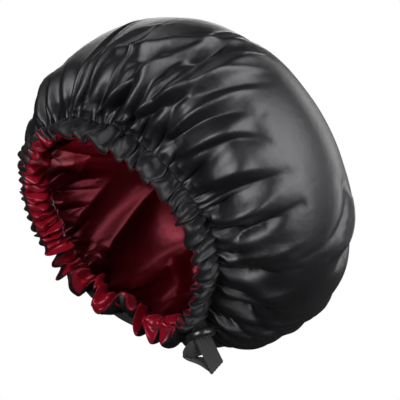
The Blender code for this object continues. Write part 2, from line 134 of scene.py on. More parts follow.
# How the casing lies round the rim: turn in degrees, lean in degrees (the edge inward is
# more than 0), in metres the height of the edge's ruffle and of the puffs toward the inside,
# how far the whole rim stands out of its ellipse, which ply turns over the edge (the facing
# where more than 0, the outer ply where less), and the edge's own curl inward in degrees
CASING_LIE = (
    # turn   lean   ruffle  puff    out     lip   curl
    (0, -6, 0.004, 0.007, -0.002, -0.3, 0),
    (14, -6, 0.0045, 0.007, -0.001, 0.3, 0),
    (34, -4, 0.0036, 0.002, 0.001, -1, 0),
    (90, -8, 0.0034, 0.0012, 0.003, -1, 0),
    (120, -6, 0.0034, 0.0012, 0, -1, 0),
    (150, 0, 0.0036, 0.0012, -0.006, -1, 10),
    (172, 6, 0.004, 0.0015, -0.003, -1, 20),
    (181, -6, 0.005, 0.007, -0.002, 0.2, 60),
    (187, -34, 0.0065, 0.01, -0.002, 0.3, 100),
    (197, -30, 0.008, 0.011, -0.002, 0.3, 95),
    (204, -24, 0.009, 0.01, -0.002, 0.3, 60),
    (211, -22, 0.0085, 0.01, -0.002, 0.3, 80),
    (217, 66, 0.007, 0.006, 0.001, 0.4, 20),
    (229, 76, 0.007, 0.006, 0.001, 0.3, 20),
    (234, 40, 0.008, 0.006, 0, 0.3, 0),
    (239, -22, 0.0085, 0.0095, -0.001, 0.2, 0),
    (243, -10, 0.008, 0.009, 0, 0.2, 0),
    (247, 76, 0.006, 0.006, 0, 0.3, 0),
    (251, 70, 0.006, 0.007, 0, 0.3, 0),
    (255, -20, 0.008, 0.012, -0.003, -0.5, 0),
    (266, -30, 0.008, 0.013, -0.004, -0.5, 60),
    (277, -8, 0.006, 0.011, -0.006, -0.3, 0),
    (281, 66, 0.005, 0.007, -0.005, 0.2, 0),
    (285, -14, 0.0046, 0.012, -0.008, -0.5, 0),
    (300, -22, 0.0038, 0.014, -0.009, -0.3, 10),
    (330, -24, 0.0038, 0.014, -0.009, -0.3, 10),
    (350, -16, 0.0044, 0.01, -0.005, -0.4, 0),
    (360, -6, 0.004, 0.007, -0.002, -0.3, 0),
)

SIDEWAYS = np.array([1.0, 0.0, 0.0])
FORWARD = np.array([0.0, -math.cos(RIM_TILT), math.sin(RIM_TILT)])
UPWARD = np.array([0.0, math.sin(RIM_TILT), math.cos(RIM_TILT)])

# Camera
VIEW_BACK = Vector((0.8165, -0.4526, -0.3584)).normalized()
VIEW_RIGHT = Vector((0.4848, 0.8746, 0.0)).normalized()
VIEW_UP = VIEW_BACK.cross(VIEW_RIGHT).normalized()
VIEW_DISTANCE = 0.77
VIEW_SHIFT = (0.0758, 0.0318)


def add_camera():
    data = bpy.data.cameras.new("camera")
    data.lens = 85.0
    data.sensor_width = 36.0
    camera = bpy.data.objects.new("camera", data)
    bpy.context.scene.collection.objects.link(camera)
    camera.location = (
        VIEW_DISTANCE * VIEW_BACK + VIEW_SHIFT[0] * VIEW_RIGHT + VIEW_SHIFT[1] * VIEW_UP
    )
    axes = Matrix((VIEW_RIGHT, VIEW_UP, VIEW_BACK)).transposed()
    camera.rotation_mode = "QUATERNION"
    camera.rotation_quaternion = axes.to_quaternion()
    data.clip_start = 0.01
    data.clip_end = 50.0
    bpy.context.scene.camera = camera


add_camera()


def unit(vectors):
    return vectors / np.linalg.norm(vectors, axis=-1, keepdims=True)


def outward(turn):
    return np.cos(turn)[..., None] * FORWARD + np.sin(turn)[..., None] * SIDEWAYS


def round_table(table, turn, column):
    """A column of a table of turns in degrees, smoothly between its rows."""
    rows = np.array(table)
    share = np.mod(np.degrees(turn), 360.0)
    after = np.clip(np.searchsorted(rows[:, 0], share, side="right"), 1, len(rows) - 1)
    low, high = rows[after - 1], rows[after]
    blend = (share - low[..., 0]) / (high[..., 0] - low[..., 0])
    blend = blend * blend * (3 - 2 * blend)
    return low[..., column] + (high[..., column] - low[..., column]) * blend


def rim_point(turn, height):
    out = round_table(CASING_LIE, turn, 4)
    fore = (RIM_HALF_LENGTH + out) * np.cos(turn)
    side = (RIM_HALF_WIDTH + out) * np.sin(turn)
    return fore[..., None] * FORWARD + side[..., None] * SIDEWAYS + height[..., None] * UPWARD


def spline(knots, rows, at):
    """Points at the given places of a smooth curve through rows, which has no corners."""
    slopes = np.gradient(rows, knots, axis=0)
    before = np.clip(np.searchsorted(knots, at, side="right") - 1, 0, len(knots) - 2)
    span = (knots[before + 1] - knots[before])[..., None]
    share = (at - knots[before])[..., None] / span
    start_weight = (1 + 2 * share) * (1 - share) ** 2
    end_weight = share**2 * (3 - 2 * share)
    start_lean = share * (1 - share) ** 2 * span
    end_lean = share**2 * (share - 1) * span
    return (
        start_weight * rows[before]
        + end_weight * rows[before + 1]
        + start_lean * slopes[before]
        + end_lean * slopes[before + 1]
    )


def crown_profile():
    sizes = np.array([CROWN_DEPTH, CROWN_HALF_WIDTH, CROWN_FRONT, CROWN_BACK])
    stitch_line = [CHANNEL_WIDTH, RIM_HALF_WIDTH, RIM_HALF_LENGTH, RIM_HALF_LENGTH]
    rows = np.vstack([stitch_line, np.array(SECTIONS) * sizes])
    past_the_top = rows[-2] * np.array([1.0, -1.0, -1.0, -1.0])
    rows = np.vstack([rows, past_the_top])
    steps = np.hypot(np.diff(rows[:, 0]), np.diff(rows[:, 1]))
    knots = np.concatenate([[0.0], np.cumsum(steps)])
    return knots / knots[-2], rows


def crown_base(turn, up):
    """The crown's smooth form, without folds."""
    knots, rows = crown_profile()
    height, side, front, back = np.moveaxis(spline(knots, rows, up), -1, 0)
    out = round_table(CASING_LIE, turn, 4) * np.clip(1 - up / 0.14, 0.0, 1.0) ** 2
    fore = (np.where(np.cos(turn) > 0, front, back) + out) * np.cos(turn)
    across = (side + out) * np.sin(turn)
    return (
        fore[..., None] * FORWARD + across[..., None] * SIDEWAYS + height[..., None] * UPWARD
    )


def base_normal(turn, up):
    step = 1e-3
    around = crown_base(turn + step, up) - crown_base(turn - step, up)
    low = np.clip(up - step, 0.0, 1.0)
    high = np.clip(up + step, 0.0, 0.998)
    along = crown_base(turn, high) - crown_base(turn, np.minimum(low, high - step))
    return unit(np.cross(around, along))


def flat_place(turn, up):
    """Where a place on the crown lies on its flat round cloth, in metres."""
    radius = CLOTH_RADIUS * (1 - up)
    return np.stack([radius * np.cos(turn), radius * np.sin(turn)], axis=-1)


def fold_lift(place, folds, sharpness, crest):
    """The height of ridges and creases along bowed lines on the flat cloth."""
    lift = np.zeros(place.shape[:-1])
    for start_turn, start_up, end_turn, end_up, bow, width, height in folds:
        start = flat_place(math.radians(start_turn), start_up)
        end = flat_place(math.radians(end_turn), end_up)
        line = end - start
        share = (place - start) @ line / (line @ line)
        inside = np.clip(share, 0.0, 1.0)
        square = np.array([-line[1], line[0]]) / np.linalg.norm(line)
        nearest = start + inside[..., None] * line
        nearest = nearest + (4 * inside * (1 - inside) * bow)[..., None] * square
        distance = np.linalg.norm(place - nearest, axis=-1)
        taper = 0.35 + 0.65 * np.sin(math.pi * np.clip(0.15 + 0.7 * share, 0.0, 1.0)) ** 0.7
        past = np.clip((share - 0.55) / 0.45, 0.0, 1.0)
        taper = taper * (1 - 0.88 * past * past * (3 - 2 * past))
        across = distance / (width * (0.4 + 0.6 * taper))
        power = crest if height > 0 else sharpness
        lift += height * taper * np.exp(-(across**power))
    return lift


# Gathers
generator = np.random.default_rng(11)


def gather_lines():
    """Turns of the pinched lines between the gathers."""
    lines = []
    for start, end, width in GATHER_WIDTHS:
        arc = math.radians(end - start) * (RIM_HALF_LENGTH + RIM_HALF_WIDTH) / 2
        count = round(arc / width)
        parts = generator.uniform(0.55, 1.6, count)
        parts = np.cumsum(parts / parts.sum())
        lines.extend(math.radians(start) + math.radians(end - start) * (parts - parts[0] / 2))
    return np.sort(np.array(lines))


LINES = gather_lines()
COUNT = len(LINES)
SIZE = generator.uniform(0.7, 1.3, COUNT)
REACH = generator.uniform(0.05, 0.12, COUNT) * np.where(np.arange(COUNT) % 3 == 0, 1.9, 1.0)
REACH = REACH * np.where(np.cos(LINES - math.radians(15)) > 0.6, 1.9, 1.0)
STRAY = generator.uniform(-0.5, 0.5, COUNT)
CURL = generator.uniform(-0.35, 0.35, COUNT)
TWIST = generator.uniform(0.0, 2 * math.pi, COUNT)
SMALL_CREASES = [
    (int(generator.integers(10, 26)) * int(generator.choice([-1, 1])),
     generator.uniform(1.0, 4.0), generator.uniform(0.0, 2 * math.pi))
    for _ in range(5)
]


def columns(steps):
    """For each column of the mesh: the gather that it lies in and how far across it."""
    gather = np.repeat(np.arange(COUNT), steps)
    across = np.tile(np.arange(steps) / steps, COUNT)
    return gather, across


def pleats(gather, across, width):
    """Fine pleats within each gather, in metres: deepest on the stitch line."""
    wave = np.sin(2 * math.pi * PLEATS * across + from_lines(PHASE, gather, across))
    return PLEAT_DEPTH * width * wave * from_lines(SIZE, gather, across)


def line_turn(line, along, sway):
    """The turn of a pinched line, which wanders as it goes along."""
    width = 2 * math.pi / COUNT
    index = line % COUNT
    wander = STRAY[index] * (along - 0.5) + CURL[index] * np.sin(math.pi * along)
    return LINES[index] + 2 * math.pi * (line // COUNT) + width * sway * wander


def column_turn(gather, across, along, pinch, sway):
    """Turns of columns: pinch 0 spreads them evenly, 1 and more crowds them to the lines."""
    start = line_turn(gather, along, sway)
    end = line_turn(gather + 1, along, sway)
    place = across - pinch * np.sin(2 * math.pi * across) / (2 * math.pi)
    return start + (end - start) * place


def gather_width(gather):
    """The width of a gather, in metres."""
    width = line_turn(gather + 1, 0.5, 0.0) - line_turn(gather, 0.5, 0.0)
    return width * (RIM_HALF_LENGTH + RIM_HALF_WIDTH) / 2


def from_lines(values, gather, across):
    """Values given for the pinched lines, smoothly between them across each gather."""
    blend = across * across * (3 - 2 * across)
    return values[gather % COUNT] * (1 - blend) + values[(gather + 1) % COUNT] * blend


def line_widths():
    """For each pinched line, the mean width of the gathers beside it, by their sizes."""
    gather = np.arange(COUNT)
    sized = gather_width(gather) * SIZE
    return (sized + np.roll(sized, 1)) / 2


def crumple(turn, along):
    """Small creases in crossing directions round the casing, about -1 to 1 high."""
    ridges = [np.abs(np.sin(around * turn + up * along + start)) for around, up, start
              in SMALL_CREASES]
    return (sum(ridges) - 0.64 * len(ridges)) / 1.3


def random_line(base, turns, ups, lengths, swing, bow, widths):
    """The line of a fold, drawn at random: its two ends, its bow and its width."""
    turn = base + generator.uniform(*turns)
    up = generator.uniform(*ups)
    length = generator.uniform(*lengths)
    swing = generator.uniform(-swing, swing)
    bow = generator.uniform(-bow, bow)
    return turn, up, turn + swing, up + length, bow, generator.uniform(*widths)


def random_folds():
    """Smaller folds all round, most of them up from the stitch line."""
    folds = []
    for _ in range(56):
        line = random_line(0.0, (150.0, 390.0), (0.02, 0.08), (0.12, 0.40), 14.0, 0.010,
                           (0.005, 0.010))
        height = generator.choice([-1.0, 1.0]) * generator.uniform(0.0015, 0.0038)
        if line[0] < 358.0:
            folds.append((*line, height))
    return folds


def dome_folds():
    """Wide, shallow waves and dents high on the crown, where the cloth is nearly taut."""
    folds = []
    for _ in range(26):
        line = random_line(0.0, (0.0, 360.0), (0.30, 0.62), (0.10, 0.26), 26.0, 0.015,
                           (0.014, 0.026))
        height = generator.uniform(-0.0022, 0.0022)
        if line[0] < 45.0 or 60.0 < line[0] < 130.0:
            height = 0.3 * height
        if line[0] > 165.0:
            height = 1.8 * height
        folds.append((*line, height))
    return folds


def back_folds():
    """Long radial folds over the back, which the photographed side doesn't show."""
    folds = []
    for number in range(15):
        line = random_line(171.0 + 4.6 * number, (-2.0, 2.0), (0.02, 0.06), (0.22, 0.52), 9.0,
                           0.014, (0.009, 0.015))
        folds.append((*line, (-1.0) ** number * generator.uniform(0.0035, 0.0060)))
    return folds


def far_side_folds():
    """The large folds again on the wearer's right, a little out of line with the left's."""
    return [(-row[0] + 5, row[1], -row[2] + 5, row[3], -row[4], *row[5:]) for row in FOLDS]


# Depths of the gathers and pleats at the stitch line, as shares of a gather's width, and
# how far columns crowd to the pinched lines at the stitch line and at the edge
SEAM_RIPPLE = 0.22
CROWN_RIPPLE = 0.66
PLEAT_DEPTH = 0.130
SEAM_PINCH = 0.85
EDGE_PINCH = 0.75
FOLD_GAIN = 1.15
CROWN_INSET = 0.0020

# The casing: the lip's rows as shares of its height, its cut width, its frill and its puffs
LIP_ROWS = np.array([-0.17, -0.13, -0.08, -0.04])
CASING_CUT = 0.024
FRILL_HEIGHT = 0.0050
MOST_OUTER_PUFF = 0.0042
CRUMPLE_HEIGHT = 0.0005
LEAN_STEPS = 24

# The crown's plies: each one's distance from their middle and the edge in the channel
PLY_OFFSET = 0.0006
SEAM_TUCK = 0.0015

# Cloth simulation: columns of the fine mesh for one of the coarse mesh, frames, and the cap
STRIDE = 3
CLOTH_FRAMES = 20
MOST_MOVE = 0.008

PHASE = generator.uniform(-0.9, 0.9, COUNT)
SMALL_FOLDS = random_folds()
DOME_FOLDS = dome_folds()
BACK_FOLDS = back_folds()
CROWN_UPS = np.concatenate([
    np.linspace(0.0, 0.12, 34, endpoint=False),
    np.linspace(0.12, 0.50, 58, endpoint=False),
    np.linspace(0.50, 0.985, 34),
])


def crown_middle():
    """Points of the middle between the crown and the lining, and their flat places."""
    gather, across = columns(CROWN_STEPS)
    up = CROWN_UPS[:, None] * np.ones(len(gather))
    reach = from_lines(REACH, gather, across)
    fade = np.exp(-((up / reach) ** 2))
    near = SEAM_PINCH - 0.75 * np.clip(up / 0.12, 0.0, 1.0)
    turn = column_turn(gather, across, 1.0, near * fade, 1.0)
    turn = turn + 0.9 * up * np.sin(3 * turn + 1.0) * np.clip(0.5 - up, 0.0, 0.5)
    width = from_lines(line_widths(), gather, across)
    bump = np.abs(np.sin(math.pi * across)) ** (0.8 + 1.4 * np.clip(up / 0.10, 0.0, 1.0))
    rise = np.clip(up / 0.03, 0.0, 1.0)
    ripple = (SEAM_RIPPLE + (CROWN_RIPPLE - SEAM_RIPPLE) * rise) * width
    ripple = ripple * (bump - 0.5) * fade
    ripple = ripple + pleats(gather, across, width) * np.exp(-((up / 0.045) ** 2))
    place = flat_place(turn, up)
    folds = fold_lift(place, list(FOLDS) + far_side_folds() + BACK_FOLDS, 1.4, 1.35)
    small = fold_lift(place, SMALL_FOLDS, 1.4, 1.5) + fold_lift(place, DOME_FOLDS, 2.0, 2.0)
    held = np.clip(up / 0.06, 0.0, 1.0)
    lift = ripple + (FOLD_GAIN * folds + small - CROWN_INSET) * held
    from_seam = np.clip(up / 0.03, 0.0, 1.0)[..., None]
    direction = unit((1 - from_seam) * outward(turn) + from_seam * base_normal(turn, up))
    points = crown_base(turn, up) + lift[..., None] * direction
    return points, place


def lean_route(turn, along, length):
    """How the casing's plies run from the stitch line to the edge: angle, drop, way inward.

    turn has one value a column; along and length have one a point.
    """
    steps = np.linspace(0.0, 1.0, LEAN_STEPS + 1)[:, None]
    lean = np.radians(round_table(CASING_LIE, turn, 1))
    curl = np.radians(round_table(CASING_LIE, turn, 6))
    from_seam = np.clip(steps / 0.45, 0.0, 1.0) ** 0.8
    angle = lean * from_seam + curl * np.clip((steps - 0.5) / 0.4, 0.0, 1.0)
    middle = (angle[1:] + angle[:-1]) / 2
    start = np.zeros((1, len(turn)))
    down = np.concatenate([start, np.cumsum(np.cos(middle), axis=0)]) / LEAN_STEPS
    inside = np.concatenate([start, np.cumsum(np.sin(middle), axis=0)]) / LEAN_STEPS
    place = np.clip(1 - along, 0.0, 1.0) * LEAN_STEPS
    before = np.minimum(place.astype(int), LEAN_STEPS - 1)
    share = place - before
    column = np.arange(len(turn))[None, :]
    at = [part[before, column] * (1 - share) + part[before + 1, column] * share
          for part in (angle, down, inside)]
    return at[0], at[1] * length, at[2] * length


def casing_ply(sign):
    """Points of one ply of the casing, from its edge to the stitch line, with flat places.

    Where the facing shows, it starts a little way up the outer face, as a lip.
    """
    gather, across = columns(CASING_STEPS)
    rows = np.concatenate([LIP_ROWS, np.linspace(0.0, 1.0, 30)])
    along = rows[:, None] * np.ones(len(gather))
    lip = along < 0
    turn_here = column_turn(gather, across, 0.0, EDGE_PINCH, 1.0)
    lip_share = np.clip(-sign * round_table(CASING_LIE, turn_here, 5), 0.005, 1.0)
    along = np.where(lip, -along * lip_share, along)
    face = np.where(lip, -sign * np.clip(lip_share / 0.15, 0.0, 1.0), sign)
    width = from_lines(line_widths(), gather, across)
    size = from_lines(SIZE, gather, across)
    full = np.sin(math.pi * along) ** 0.55
    swell = full * (1 + 0.30 * np.sin(2 * math.pi * along + TWIST[gather]))
    pinch = np.where(along > 0.9, SEAM_PINCH, EDGE_PINCH + 0.35 * full)
    turn = column_turn(gather, across, along, pinch, 1.0)
    ridge = np.where(face > 0, 0.8, 1.5)
    bump = np.abs(np.sin(math.pi * across)) ** 0.8
    frill = FRILL_HEIGHT * (0.6 + 0.4 * bump * size)
    ruffle = np.sin(2 * math.pi * across + from_lines(PHASE, gather, across))
    edge = np.clip(1 - along / 0.8, 0.0, 1.0) ** 1.2
    wave = round_table(CASING_LIE, turn, 2) * edge * ruffle * size
    seam = SEAM_RIPPLE * width * (bump - 0.5) * np.clip((along - 0.6) / 0.4, 0, 1)
    inner = round_table(CASING_LIE, turn, 3)
    outer_puff = np.minimum(0.25 * width, MOST_OUTER_PUFF)
    puff = np.where(face > 0, outer_puff, inner) * size * bump ** (ridge / 0.8) * swell
    lines = np.sin(math.pi * across * 1.3 + 2.4 * (along - 0.5) + TWIST[gather])
    depth = np.where(face > 0, 0.35, 0.15)
    crease = 1.0 - depth * np.exp(-((lines / 0.30) ** 2)) * bump
    spread = 0.0003 + 0.0012 * np.clip(along / 0.1, 0, 1) * np.clip((1 - along) / 0.15, 0, 1)
    spread = spread + np.where(lip, 0.0004, 0.0)
    middle_share = np.sin(math.pi * np.clip(along, 0.04, 0.96))
    creased = CRUMPLE_HEIGHT * crumple(turn, along) * middle_share
    pleated = 0.22 + 0.78 * np.clip(along / 0.35, 0.0, 1.0)
    creased = creased + pleats(gather, across, width) * pleated
    away = wave + seam + creased + face * (spread + puff * crease)
    angle, down, inside = lean_route(turn[-1], along, CHANNEL_WIDTH + frill)
    leaned_away = away * np.cos(angle) - inside
    leaned_height = CHANNEL_WIDTH - down - away * np.sin(angle)
    points = rim_point(turn, leaned_height) + leaned_away[..., None] * outward(turn)
    flat = np.stack([turn * CLOTH_RADIUS, rows[:, None] * CASING_CUT + 0 * turn], axis=-1)
    return points, flat


def grid_normals(points):
    """Outward normals of a grid whose columns run once round."""
    around = np.roll(points, -1, axis=1) - np.roll(points, 1, axis=1)
    along = np.gradient(points, axis=0)
    return unit(np.cross(around, along))


def grid_mesh(name, points, flat, inward, top=None):
    """A cloth sheet through rows of points, each of them a ring round the opening."""
    row_count, column_count = points.shape[:2]
    index = np.arange(row_count * column_count).reshape(row_count, column_count)
    after = np.roll(index, -1, axis=1)
    quads = np.stack([index[:-1], after[:-1], after[1:], index[1:]], axis=-1).reshape(-1, 4)
    flat_after = np.roll(flat, -1, axis=1)
    corners = np.stack([flat[:-1], flat_after[:-1], flat_after[1:], flat[1:]], axis=-2)
    corners = corners.reshape(-1, 4, 2)
    if inward:
        quads = quads[:, ::-1]
        corners = corners[:, ::-1]
    vertices = points.reshape(-1, 3)
    loops = quads.ravel()
    starts = np.arange(len(quads)) * 4
    uvs = corners.reshape(-1, 2)
    if top is not None:
        middle = len(vertices)
        vertices = np.vstack([vertices, top])
        ring, next_ring = index[-1], after[-1]
        fan = np.stack([ring, next_ring, np.full(column_count, middle)], axis=-1)
        fan_uv = np.stack([flat[-1], flat_after[-1], np.zeros((column_count, 2))], axis=-2)
        if inward:
            fan, fan_uv = fan[:, ::-1], fan_uv[:, ::-1]
        starts = np.concatenate([starts, len(loops) + 3 * np.arange(column_count)])
        loops = np.concatenate([loops, fan.ravel()])
        uvs = np.concatenate([uvs, fan_uv.reshape(-1, 2)])
    mesh = bpy.data.meshes.new(name)
    mesh.vertices.add(len(vertices))
    mesh.vertices.foreach_set("co", vertices.astype(np.float32).ravel())
    mesh.loops.add(len(loops))
    mesh.loops.foreach_set("vertex_index", loops.astype(np.int32))
    mesh.polygons.add(len(starts))
    mesh.polygons.foreach_set("loop_start", starts.astype(np.int32))
    layer = mesh.uv_layers.new(name="cloth")
    mesh.update(calc_edges=True)
    mesh.validate()
    layer = mesh.uv_layers["cloth"]
    layer.data.foreach_set("uv", uvs.astype(np.float32).ravel())
    mesh.shade_smooth()
    item = bpy.data.objects.new(name, mesh)
    bpy.context.scene.collection.objects.link(item)
    return item


def relaxed(points, flat, top):
    """The crown's middle after its flat cloth has settled into it, a little inflated."""
    coarse, coarse_flat = points[::2, ::STRIDE], flat[::2, ::STRIDE]
    item = grid_mesh("settling", coarse, coarse_flat, False, top)
    before = np.vstack([coarse.reshape(-1, 3), top])
    rest = np.pad(np.vstack([coarse_flat.reshape(-1, 2), [0.0, 0.0]]), ((0, 0), (0, 1)))
    item.shape_key_add(name="Basis")
    key = item.shape_key_add(name="flat")
    key.data.foreach_set("co", rest.astype(np.float32).ravel())
    key.value = 0.0
    held = item.vertex_groups.new(name="held")
    held.add(list(range(coarse.shape[1])), 1.0, "ADD")
    cloth = item.modifiers.new("cloth", "CLOTH")
    settings = cloth.settings
    settings.quality = 6
    settings.mass = 0.1
    settings.tension_stiffness = 15
    settings.compression_stiffness = 15
    settings.shear_stiffness = 5
    settings.bending_stiffness = 0.05
    settings.vertex_group_mass = "held"
    settings.rest_shape_key = key
    settings.use_pressure = True
    settings.uniform_pressure_force = 4.0
    settings.effector_weights.gravity = 0.0
    cloth.point_cache.frame_start = 1
    cloth.point_cache.frame_end = CLOTH_FRAMES
    scene = bpy.context.scene
    for number in range(1, CLOTH_FRAMES + 1):
        scene.frame_set(number)
    settled = item.evaluated_get(bpy.context.evaluated_depsgraph_get())
    after = np.empty(len(before) * 3, np.float32)
    settled.data.vertices.foreach_get("co", after)
    move = (after.reshape(-1, 3) - before)[:-1].reshape(coarse.shape)
    length = np.linalg.norm(move, axis=-1, keepdims=True)
    move = move * np.minimum(1.0, MOST_MOVE / np.maximum(length, 1e-9))
    scene.frame_set(1)
    bpy.data.objects.remove(item)
    row_at = np.arange(len(points)) / 2
    rows = np.arange(len(coarse))
    column_at = np.arange(points.shape[1]) / STRIDE
    wrapped = np.concatenate([move, move[:, :1]], axis=1)
    columns_at = np.arange(wrapped.shape[1])
    fine = np.stack([[np.interp(column_at, columns_at, line) for line in wrapped[..., axis]]
                     for axis in range(3)], axis=-1)
    fine = np.stack([[np.interp(row_at, rows, line) for line in fine[..., axis].T]
                     for axis in range(3)], axis=-1).transpose(1, 0, 2)
    return points + fine


# Elastic band and button
ELASTIC_WIDTH = 0.015
ELASTIC_WALL = 0.0012
STRAP_TURN = math.radians(175.0)
LEG_SPACING = 0.0038
FOLDED_SPACING = 0.0020
CORNER_RADIUS = 0.0025
LEG_REACH = 0.0055
DROOP_RADIUS = 0.0118
DROOP_ANGLE = math.radians(27.0)
LOOP_DROP = 0.0245
LOOP_LEAN = math.radians(-11.0)
FOLD_TURN = math.radians(108.0)
LOOP_BULGE = (0.022, 0.031)
LOOP_OPENING = 0.008
LOOP_LEAD = 0.004
LOOP_SPLAY = math.radians(82.0)
LOOP_TILT = math.radians(64.0)
BUTTON_DIAMETER = 0.026
BUTTON_THICKNESS = 0.0065
BUTTON_ROUNDING = 0.0026
BUTTON_STANDOFF = 0.0008
RIBS = 5


def strap_frame():
    """Where the strap leaves the channel: a point on the elastic, outward and sideways."""
    turn = np.array(STRAP_TURN)
    out = outward(turn)
    start = rim_point(turn, np.array(CHANNEL_WIDTH / 2))
    return start, out, np.cross(out, UPWARD)


def in_strap_plane(angle):
    """A direction in the strap's plane, turned from outward toward the rim's open side."""
    _, out, _ = strap_frame()
    return math.cos(angle) * out - math.sin(angle) * UPWARD


def droop_route():
    """Stations of one leg from the channel to the button: centre, edge direction."""
    start, out, _ = strap_frame()
    stations = [(start + share * LEG_REACH * out, UPWARD) for share in (0.45, 1.0)]
    centre, _ = stations[-1]
    count = 6
    for i in range(1, count + 1):
        angle = DROOP_ANGLE * i / count
        heading = in_strap_plane(angle - DROOP_ANGLE / count / 2)
        centre = centre + DROOP_RADIUS * DROOP_ANGLE / count * heading
        stations.append((centre, in_strap_plane(angle - math.pi / 2)))
    heading = in_strap_plane(DROOP_ANGLE)
    length = BUTTON_THICKNESS + 2 * BUTTON_STANDOFF
    stations.append((centre + length * heading, stations[-1][1]))
    return stations


def loop_stations(side):
    """The loop below the button: its front leg, the flat fold and the rear leg."""
    start, edge = droop_route()[-1]
    heading_angle = DROOP_ANGLE + LOOP_LEAN
    heading = in_strap_plane(heading_angle)
    fold_point = start + LOOP_DROP * heading
    fold_line = in_strap_plane(heading_angle - FOLD_TURN)
    half = ELASTIC_WIDTH / 2
    fold_half = half / math.sin(FOLD_TURN)
    back_heading = 2 * (heading @ fold_line) * fold_line - heading
    past_fold = np.cross(fold_line, side)
    past_fold = past_fold * np.sign(past_fold @ heading)
    apart = FOLDED_SPACING / 2
    wide = LEG_SPACING / 2
    front_edge = in_strap_plane(heading_angle - math.pi / 2)
    stations = [(start + wide * side, half * edge)]
    for t in (0.2, 0.4, 0.6, 0.75):
        turn_share = min(1.0, 2 * t)
        across = unit((1 - turn_share) * edge + turn_share * front_edge)
        gap = wide + (apart - wide) * t
        stations.append((start + t * LOOP_DROP * heading + gap * side, half * across))
    fold = (
        fold_point - 0.2 * half * heading + apart * side,
        fold_point + apart * past_fold + 0.7 * apart * side,
        fold_point + 1.4 * apart * past_fold,
        fold_point + apart * past_fold - 0.7 * apart * side,
        fold_point - 0.2 * half * heading - apart * side,
    )
    stations += [(place, fold_half * fold_line) for place in fold]
    leaving = start + LOOP_LEAD * in_strap_plane(DROOP_ANGLE)
    points = (
        fold_point,
        fold_point + LOOP_BULGE[0] * back_heading,
        leaving + LOOP_BULGE[1] * in_strap_plane(DROOP_ANGLE + LOOP_SPLAY),
        leaving,
    )
    count = 20
    for i in range(5, count + 1):
        t = i / count
        weights = ((1 - t) ** 3, 3 * t * (1 - t) ** 2, 3 * t**2 * (1 - t), t**3)
        slopes = (-3 * (1 - t) ** 2, 3 * (1 - t) * (1 - 3 * t), 3 * t * (2 - 3 * t), 3 * t**2)
        centre = sum(weight * point for weight, point in zip(weights, points))
        heading_here = unit(sum(slope * point for slope, point in zip(slopes, points)))
        across = np.cross(side, heading_here)
        across = across * np.sign(across @ edge)
        tilt = LOOP_TILT * math.sin(math.pi * t) ** 0.8
        across = math.cos(tilt) * across - math.sin(tilt) * side
        gap = apart + (wide - apart) * t + LOOP_OPENING * math.sin(math.pi * t) ** 2
        stations.append((centre - gap * side, half * across))
    stations.append((start - wide * side, half * edge))
    return stations


def band_stations():
    """The whole closed band: round the channel, out at the nape, and round its loop."""
    start, out, side = strap_frame()
    side = side * np.sign(side @ SIDEWAYS)
    half_edge = ELASTIC_WIDTH / 2 * UPWARD
    radius = np.linalg.norm(start - CHANNEL_WIDTH / 2 * UPWARD)
    gap_angle = (LEG_SPACING / 2 + 2 * CORNER_RADIUS) / radius
    turns = STRAP_TURN + np.linspace(gap_angle, 2 * math.pi - gap_angle, 96)
    ring = rim_point(turns, np.full(len(turns), CHANNEL_WIDTH / 2))
    legs = []
    for way in (side, -side):
        leg = []
        for angle in np.radians([10, 30, 50, 70, 85]):
            inward = LEG_SPACING / 2 + CORNER_RADIUS * (1 - math.sin(angle))
            reach = CORNER_RADIUS * (1 - math.cos(angle))
            leg.append((start + inward * way + reach * out, half_edge))
        for centre, edge in droop_route()[:-1]:
            leg.append((centre + LEG_SPACING / 2 * way, ELASTIC_WIDTH / 2 * edge))
        legs.append(leg)
    ring_stations = [(centre, half_edge) for centre in ring]
    return ring_stations + legs[0] + loop_stations(side) + legs[1][::-1]


def elastic_mesh():
    """The flat elastic with its lengthwise ribs, as a closed strip."""
    stations = band_stations()
    centres = np.array([centre for centre, _ in stations])
    edges = np.array([edge for _, edge in stations])
    headings = np.roll(centres, -1, axis=0) - np.roll(centres, 1, axis=0)
    walls = unit(np.cross(headings, edges))
    across = np.linspace(-1.0, 1.0, 8 * RIBS + 1)
    rib = np.abs(np.sin(math.pi * RIBS * (across + 1) / 2)) ** 0.7
    half = ELASTIC_WALL / 2 * (0.45 + 0.75 * rib)
    section = [(a, h) for a, h in zip(across, half)]
    section += [(a, -h) for a, h in zip(across[::-1], half[::-1])]
    lengths = np.linalg.norm(np.diff(centres, axis=0, append=centres[:1]), axis=1)
    run = np.concatenate([[0.0], np.cumsum(lengths)])[:-1]
    rows = np.array([centres + a * edges + h * walls for a, h in section])
    flat = np.array([np.stack([run, np.full(len(run), 0.5 * ELASTIC_WIDTH * a)], axis=-1)
                     for a, _ in section])
    rows = np.concatenate([rows, rows[:1]])
    flat = np.concatenate([flat, flat[:1]])
    return rows, flat


